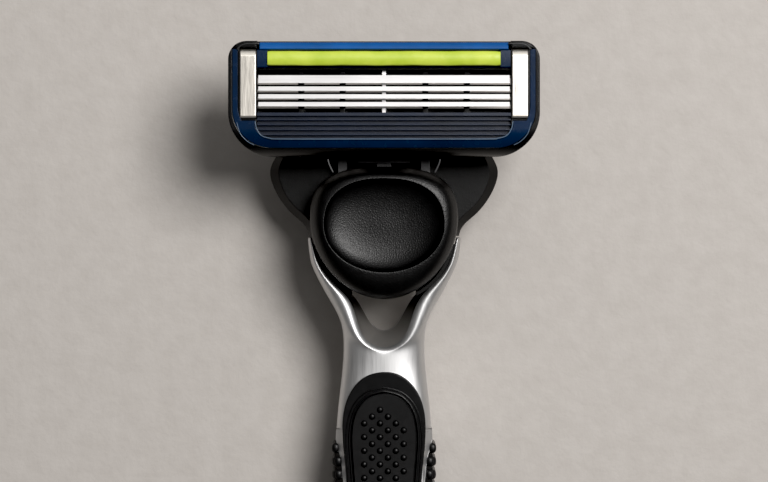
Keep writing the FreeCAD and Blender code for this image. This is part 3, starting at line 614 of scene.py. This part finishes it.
def add_fork():
    """Neck and arms, one half mirrored from the other, joined and smoothed."""
    rows = []
    for number, (outer, crest) in enumerate(NECK):
        reach = side_reach(outer[1], 8.0)
        outer = (reach - 0.01 if reach else outer[0], outer[1])
        rows.append(fork_ring(outer, crest, None, crest, min(1.0, number / 3)))
    for outer, crest, rim, low in ARM:
        rows.append(fork_ring(outer, crest, rim, low, 1.0))
    tip = rows[-1]
    middle = [sum(p[k] for p in tip) / len(tip) for k in range(3)]
    rows.append([
        (middle[0] + (p[0] - middle[0]) * 0.8, p[1] + 0.12 * MM, middle[2] + (p[2] - middle[2]) * 0.9)
        for p in tip
    ])
    work = bmesh.new()
    for side in (1, -1):
        grid = [[work.verts.new((p[0] * side, p[1], p[2])) for p in row] for row in rows]
        for near, far in zip(grid, grid[1:]):
            count = len(near)
            for k in range(count - 1):
                face = work.faces.new((near[k], near[k + 1], far[k + 1], far[k]))
                # faces of the notch wall take the painted shade material
                face.material_index = 1 if k >= NECK_POINTS else 0
            if count == len(far) and count > NECK_POINTS:
                work.faces.new((near[-1], near[0], far[0], far[-1]))
        work.faces.new(grid[-1])
    bmesh.ops.remove_doubles(work, verts=work.verts, dist=0.01 * MM)
    crease = work.edges.layers.float.new("crease_edge")
    for edge in work.edges:
        if edge.is_boundary:
            edge[crease] = 1.0
    bmesh.ops.contextual_create(work, geom=[e for e in work.edges if e.is_boundary])
    bmesh.ops.recalc_face_normals(work, faces=work.faces)
    for face in work.faces:
        face.smooth = True
    mesh = bpy.data.meshes.new("fork")
    work.to_mesh(mesh)
    work.free()
    mesh.materials.append(finishes["satin_silver"])
    mesh.materials.append(finishes["painted_shade_silver"])
    fork = add_object("fork", mesh, "handle", "satin_silver")
    subdivide(fork, 2)
    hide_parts("handle_frame")


def add_shaft():
    """The CAD handle behind the seam, with softened edges."""
    source = nodes["handle_frame"]
    work = bmesh.new()
    work.from_mesh(source.data)
    work.transform(source.matrix_world)
    cut = bmesh.ops.bisect_plane(
        work, geom=work.verts[:] + work.edges[:] + work.faces[:],
        plane_co=(0, (SEAM_Y + SHAFT_ROUND) * MM, 0), plane_no=(0, 1, 0), clear_outer=True,
    )
    edges = [g for g in cut["geom_cut"] if isinstance(g, bmesh.types.BMEdge)]
    bmesh.ops.triangle_fill(work, edges=edges, use_beauty=True)
    mesh = bpy.data.meshes.new("shaft")
    work.to_mesh(mesh)
    work.free()
    mesh.materials.clear()
    mesh.materials.append(finishes["satin_silver"])
    shade(mesh, 30.0)
    shaft = add_object("shaft", mesh, "handle", "satin_silver")
    bevel = shaft.modifiers.new("soft_edges", "BEVEL")
    bevel.width = SHAFT_ROUND * MM
    bevel.segments = 2
    bevel.limit_method = "ANGLE"
    bevel.angle_limit = math.radians(35.0)
    bevel.harden_normals = True
    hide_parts("handle_frame")


def add_tail():
    """Rounded end cap that starts at the shaft's own section."""
    low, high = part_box("tail_cap")
    end_y = low.y / MM
    joint_y = high.y / MM
    half = high.x / MM
    z0 = low.z / MM
    z1 = high.z / MM
    middle = (z0 + z1) / 2
    deep = (z1 - z0) / 2
    turns = [2 * math.pi * k / 64 for k in range(64)]
    rings = []
    for share in (0.0, 0.02, 0.15, 0.3, 0.45, 0.6, 0.72, 0.82, 0.9, 0.96, 0.99):
        scale = math.sqrt(1 - share ** 2.4)
        corner = 2 / (4.2 - 1.8 * share)
        rings.append([
            (half * scale * power(math.cos(t), corner) * MM, (joint_y + (end_y - joint_y) * share) * MM,
             (middle + deep * scale * power(math.sin(t), corner)) * MM)
            for t in turns
        ])
    vertices, faces = ring_mesh(rings, True, True)
    piece = add_mesh("end_cap", vertices, faces, "handle", slot_of["tail_cap"], 60.0)
    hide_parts("tail_cap")


# ---- Grip: rounded side ribs, stepped ridges round the pad, in mm ---------------------------

RIB_PITCH = 1.8
RIB_PROUD = 0.35             # how far the square ribs underneath stand out
RIB_HALF_WIDTH = 0.68
RIB_HEIGHT = 0.54
RIB_SQUARENESS = 0.8
RIB_SINK = 0.06
RIB_LOW_Z = 2.4
RIB_STEP_Z = 0.2
RIB_STEPS = 57
RIB_FIRST_Y = 16.1
RIB_COUNT = 22


def add_ribs():
    """Rounded ribs over the square ones of the rubber, following the side of the handle."""
    source = nodes["back_grip"]
    turns = [2 * math.pi * k / 18 for k in range(18)]
    for side, name in ((-1, "ribs_left"), (1, "ribs_right")):
        vertices = []
        faces = []
        for number in range(RIB_COUNT):
            y = RIB_FIRST_Y - number * RIB_PITCH
            spots = []
            for step in range(RIB_STEPS):
                z = RIB_LOW_Z + step * RIB_STEP_Z
                start = Vector((side * OUTSIDE, y * MM, z * MM))
                hit, place, _, _ = source.ray_cast(start, Vector((-side, 0, 0)))
                if hit and place.x * side > 4 * MM:
                    spots.append((place.x * side / MM - RIB_PROUD, z))
            if len(spots) < 4:
                continue
            (x0, z0), (x1, z1) = spots[0], spots[-1]
            line = [(x0, z0 - 0.1, 0.75)]
            line += [(x, z, 1.0) for x, z in spots[::2] + spots[-1:]]
            line += [(x1, z1 + 0.12, 0.92), (x1, z1 + 0.3, 0.55)]
            rings = []
            for x, z, full in line:
                rings.append([
                    (side * (x - RIB_SINK + RIB_HEIGHT * full * power(math.cos(t), RIB_SQUARENESS)) * MM,
                     (y + RIB_HALF_WIDTH * full * power(math.sin(t), RIB_SQUARENESS)) * MM, z * MM)
                    for t in turns
                ])
            join(vertices, faces, ring_mesh(rings, True, True))
        add_mesh(name, vertices, faces, "handle", "grip_rubber", 80.0)


def smooth_curve(points, steps=8):
    """Catmull-Rom line through the points."""
    line = []
    for i in range(len(points) - 1):
        p0 = points[max(i - 1, 0)]
        p1 = points[i]
        p2 = points[i + 1]
        p3 = points[min(i + 2, len(points) - 1)]
        for step in range(steps):
            t = step / steps
            line.append(tuple(
                0.5 * (2 * b + (c - a) * t + (2 * a - 5 * b + 4 * c - d) * t ** 2
                       + (3 * b - a - 3 * c + d) * t ** 3)
                for a, b, c, d in zip(p0, p1, p2, p3)
            ))
    line.append(points[-1])
    return line


def pad_outline(grow):
    """Closed outline round the pad, moved outwards by grow, in mm."""
    low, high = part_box("grip_pad")
    top = high.y / MM
    end = low.y / MM
    half = high.x / MM
    wide = top - half * 1.4
    low_half = half - 1.5
    side = [
        (0.0, top), (half * 0.52, top - half * 0.16), (half * 0.87, top - half * 0.62), (half, wide),
        (half * 0.93, wide - 5.0), (half * 0.86, wide - 11.0),
        ((half * 0.82 + low_half) / 2, (wide - 11.0 + end) / 2), (low_half, end + low_half * 1.5),
        (low_half * 0.72, end + low_half * 0.42), (0.0, end),
    ]
    line = smooth_curve(side)
    loop = line + [(-x, y) for x, y in line[-2:0:-1]]
    moved = []
    for i, (x, y) in enumerate(loop):
        ax, ay = loop[i - 1]
        bx, by = loop[(i + 1) % len(loop)]
        length = math.hypot(bx - ax, by - ay)
        moved.append((x - (by - ay) / length * grow, y + (bx - ax) / length * grow))
    return moved


def add_ridge(name, grow, radius, lift):
    """Raised bead on the bezel that follows the pad's outline."""
    height = surface_height("grip_bezel")
    path = []
    for x, y in pad_outline(grow):
        z = height(x * MM, y * MM)
        if z is None:
            z = height(x * MM * 0.96, y * MM)
        path.append(Vector((x * MM, y * MM, z + lift * MM)))
    rings = []
    for i, point in enumerate(path):
        along = (path[(i + 1) % len(path)] - path[i - 1]).normalized()
        across = along.cross(Vector((0, 0, 1))).normalized()
        rings.append([
            tuple(point + across * (math.cos(a) * radius * MM) + Vector((0, 0, math.sin(a) * radius * MM)))
            for a in (2 * math.pi * k / 10 for k in range(10))
        ])
    rings.append(rings[0])
    vertices, faces = ring_mesh(rings)
    count = len(rings[0])
    last = (len(rings) - 1) * count
    faces = [tuple(i - last if i >= last else i for i in face) for face in faces]
    add_mesh(name, vertices[:last], faces, "handle", "black_bezel", 80.0)


def add_bead(name, path, radius, body, material, slot_name):
    """Thin round bead along an open path in mm."""
    points = [Vector(p) * MM for p in smooth_curve(path, 5)]
    rings = []
    for i, point in enumerate(points):
        along = (points[min(i + 1, len(points) - 1)] - points[max(i - 1, 0)]).normalized()
        across = along.cross(Vector((0, 0, 1))).normalized()
        up = across.cross(along)
        taper = 0.35 if i in (0, len(points) - 1) else 1.0
        rings.append([
            tuple(point + (across * math.cos(a) + up * math.sin(a)) * radius * taper * MM)
            for a in (2 * math.pi * k / 10 for k in range(10))
        ])
    add_mesh(name, *ring_mesh(rings, True, True), body, material, 70.0, slot_name)


def add_guard_edges():
    """Crisp raised edge round the fins and a fine line outside each corner piece of the guard, both in a
    light blue-grey that is a painted highlight.
    """
    low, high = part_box("guard_frame")
    top = high.z / MM - 0.01
    edge_y = low.y / MM + 1.13
    corner = [(17.37, 2.45), (17.2, 1.5), (16.57, 0.52), (15.3, 0.1), (13.5, 0.0)]
    path = [(-x, edge_y + y, top) for x, y in corner] + [(0.0, edge_y, top)]
    path += [(x, edge_y + y, top) for x, y in corner[::-1]]
    add_bead("guard_edge", path, 0.07, "cartridge", "edge_gloss", "blue_trim")
    outside = ((19.84, 2.3), (19.36, 0.75), (18.4, -0.3), (17.45, -0.8))
    for side, name in ((-1, "corner_line_left"), (1, "corner_line_right")):
        path = [(side * x, edge_y + y, top) for x, y in outside]
        add_bead(name, path, 0.05, "cartridge", "edge_gloss", "blue_trim")


def add_cheek_lines():
    """Soft raised line along the back corner of each end cheek, in dark grey as a painted highlight on the
    black housing.
    """
    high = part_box("cartridge_housing")[1]
    top = high.z / MM
    back = high.y / MM
    cheek = ((16.75, 0.42), (17.6, 0.42), (18.6, 0.44), (19.3, 0.7), (19.85, 1.25))
    for side, name in ((-1, "cheek_line_left"), (1, "cheek_line_right")):
        path = [(side * x, back - y, top - 0.09) for x, y in cheek]
        add_bead(name, path, 0.12, "cartridge", "cheek_gloss", "black_housing")


def add_wing_edges():
    """Fine raised edge at the inner end of each wing's panel, in grey plastic as a painted highlight."""
    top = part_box("yoke")[1].z / MM - 0.42
    for side, name in ((-1, "wing_edge_left"), (1, "wing_edge_right")):
        path = [(side * x, y, top) for x, y in ((7.6, 55.6), (7.45, 55.0), (7.15, 54.3), (6.85, 53.75))]
        add_bead(name, path, 0.11, "yoke", "grey_plastic", "black_yoke")


# ---- Springs inside the pod -----------------------------------------------------------------


def add_spring(name, node):
    """Copy of a CAD spring, riding on the pod."""
    source = nodes[node]
    mesh = source.data.copy()
    mesh.transform(source.matrix_world)
    mesh.materials.clear()
    mesh.materials.append(finishes["spring_steel"])
    piece = add_object(name, mesh, "pod", "spring_steel")
    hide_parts(node)
    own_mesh(piece)


# ---- Head: tray with a painted highlight on its back band, folded clips ---------------------


def extrude_profiles(name, stations, body, slot_name, material=None):
    """Closed (y, z) profiles in mm at rising x, skinned, with flat ends."""
    rings = [[(x * MM, y * MM, z * MM) for y, z in profile] for x, profile in stations]
    vertices, faces = ring_mesh(rings)
    count = len(rings[0])
    faces.append(tuple(range(count)))
    faces.append(tuple(range((len(rings) - 1) * count, len(rings) * count)))
    return add_mesh(name, vertices, faces, body, material or slot_name, 25.0, slot_name)


def add_tray():
    """Tray of the strip: black bar at the window, dark deck with its pocket, back band in a lighter blue as
    a painted highlight.
    """
    low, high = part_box("strip_tray")
    half = high.x / MM
    y0 = low.y / MM
    y1 = high.y / MM
    floor_z = low.z / MM
    top = high.z / MM
    pocket = half - 1.38
    groove = [
        (y0 + 0.38, floor_z), (y0 + 0.38, top - 1.5), (y0 + 0.4, top - 1.45), (y1 - 1.14, top - 1.45),
        (y1 - 1.12, top - 0.5), (y1 - 1.02, top - 0.5), (y1 - 1.02, floor_z),
    ]
    deck = [
        (y0 + 0.38, floor_z), (y0 + 0.38, top - 0.3), (y0 + 0.5, top - 0.2), (y1 - 1.2, top - 0.2),
        (y1 - 1.1, top - 0.22), (y1 - 1.02, top - 0.3), (y1 - 1.02, floor_z),
    ]
    bar = [
        (y0, floor_z), (y0, top - 0.55), (y0 + 0.05, top - 0.36), (y0 + 0.16, top - 0.28),
        (y0 + 0.27, top - 0.36), (y0 + 0.33, top - 0.55), (y0 + 0.33, floor_z),
    ]
    extrude_profiles("window_bar", [(-half, bar), (half, bar)], "cartridge", "blue_trim", "black_housing")
    stations = [
        (-half, deck), (-pocket, deck), (-pocket, groove), (pocket, groove), (pocket, deck), (half, deck),
    ]
    piece = extrude_profiles("tray_deck", stations, "cartridge", "blue_trim")
    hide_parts("strip_tray")
    band = [
        (y1 - 1.0, floor_z), (y1 - 1.0, top - 0.22), (y1 - 0.95, top - 0.06), (y1 - 0.85, top),
        (y1 - 0.75, top - 0.02), (y1 - 0.2, top - 0.28), (y1 - 0.1, top - 0.36), (y1 - 0.03, top - 0.5),
        (y1, top - 0.8), (y1, floor_z),
    ]
    band_half = half - 0.35
    stations = [(-band_half, band), (band_half, band)]
    piece = extrude_profiles("tray_band", stations, "cartridge", "blue_trim", "painted_lit_blue_band")
    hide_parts("strip_tray")


def add_clip(side):
    """Sheet metal clip folded round the cartridge, with softened sheared edges."""
    name = "clip_right" if side > 0 else "clip_left"
    low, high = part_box(name)
    y0 = low.y / MM
    y1 = high.y / MM
    z0 = low.z / MM
    top = high.z / MM
    sheet = 0.25
    foot = 1.3
    outer = [
        (y0 + foot, z0), (y0, z0), (y0, z0 + 2.0), (y0, top - 0.35), (y0 + 0.1, top - 0.1),
        (y0 + 0.3, top), (y0 + 0.4, top), (y1 - 1.1, top), (y1 - 1.0, top), (y1 - 0.9, top - 0.03),
        (y1 - 0.82, top - 0.06), (y1 - 0.22, top - 0.3), (y1 - 0.1, top - 0.42), (y1, top - 0.7),
        (y1, z0 + 2.0), (y1, z0), (y1 - foot, z0),
    ]
    inner = [
        (y0 + foot, z0 + sheet), (y0 + sheet, z0 + sheet), (y0 + sheet, z0 + 2.0), (y0 + sheet, top - 0.5),
        (y0 + sheet + 0.06, top - sheet - 0.06), (y0 + 0.36, top - sheet), (y0 + 0.46, top - sheet),
        (y1 - 1.16, top - sheet), (y1 - 1.05, top - sheet), (y1 - 0.98, top - sheet - 0.03),
        (y1 - 0.92, top - sheet - 0.06), (y1 - 0.4, top - sheet - 0.27), (y1 - 0.3, top - sheet - 0.36),
        (y1 - sheet, top - 0.9), (y1 - sheet, z0 + 2.0), (y1 - sheet, z0 + sheet), (y1 - foot, z0 + sheet),
    ]
    lip = 0.06 * MM
    xs = (low.x, low.x + lip, low.x + 2 * lip, high.x - 2 * lip, high.x - lip, high.x)
    ends = (0, len(xs) - 1)
    rings = []
    for number, x in enumerate(xs):
        dip = 0.05 if number in ends else 0.0
        ring = []
        for (ya, za), (yb, zb) in zip(outer, inner):
            length = math.hypot(yb - ya, zb - za)
            ring.append((x, (ya + (yb - ya) / length * dip) * MM, (za + (zb - za) / length * dip) * MM))
        ring += [(x, y * MM, z * MM) for y, z in inner[::-1]]
        rings.append(ring)
    vertices, faces = ring_mesh(rings)
    count = len(rings[0])
    for start in (end * count for end in ends):
        for i in range(len(outer) - 1):
            faces.append((start + i, start + i + 1, start + count - 2 - i, start + count - 1 - i))
    piece = add_mesh("folded_" + name, vertices, faces, "cartridge", "clip_metal", 50.0)
    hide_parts(name)


# ---- Floor and view -----------------------------------------------------------------------


def add_floor():
    """Wide sheet of warm grey paper under the razor."""
    corners = [(x * FLOOR_HALF, y * FLOOR_HALF, 0) for x, y in ((-1, -1), (1, -1), (1, 1), (-1, 1))]
    mesh = bpy.data.meshes.new("floor")
    mesh.from_pydata(corners, [], [(0, 1, 2, 3)])
    floor = bpy.data.objects.new("floor", mesh)
    bpy.context.scene.collection.objects.link(floor)
    paper = Shader("paper", (0.50, 0.47, 0.44), 0.8)
    paper.vary_colour(paper.noise(350.0, 4.0), (0.485, 0.455, 0.425), (0.515, 0.485, 0.455))
    paper.bump(paper.noise(900.0, 4.0), 0.00008)
    mesh.materials.append(paper.material)


def set_view():
    """Plain contrast with slightly deepened blacks."""
    view = bpy.context.scene.view_settings
    view.view_transform = "Standard"
    view.use_curve_mapping = True
    view.curve_mapping.black_level = (BLACK_LEVEL, BLACK_LEVEL, BLACK_LEVEL)
    view.curve_mapping.update()


# ---- Build --------------------------------------------------------------------------------

set_view()
add_camera()
add_world((0.88, 0.87, 0.86), 0.14)
add_light("key", (0.22, 0.24, 0.56), (0, VIEW_Y, 0), 0.3, 4.1, (1.0, 0.983, 0.97))
add_light("rear", (0.03, 0.50, 0.46), (0, VIEW_Y, 0), 0.34, 0.26, (1.0, 0.99, 0.98))
finish_cad_nodes()
add_fork()
add_shaft()
add_tail()
add_button()
add_ridge("inner_ridge", 0.38, 0.2, -0.02)
add_ridge("outer_ridge", 0.86, 0.14, -0.03)
add_ribs()
add_dots()
add_spring("cap_spring", "button_spring")
add_spring("return_spring", "plunger_spring")
add_tray()
add_strip()
add_clip(1)
add_clip(-1)
add_guard_edges()
add_cheek_lines()
add_wing_edges()
add_floor()
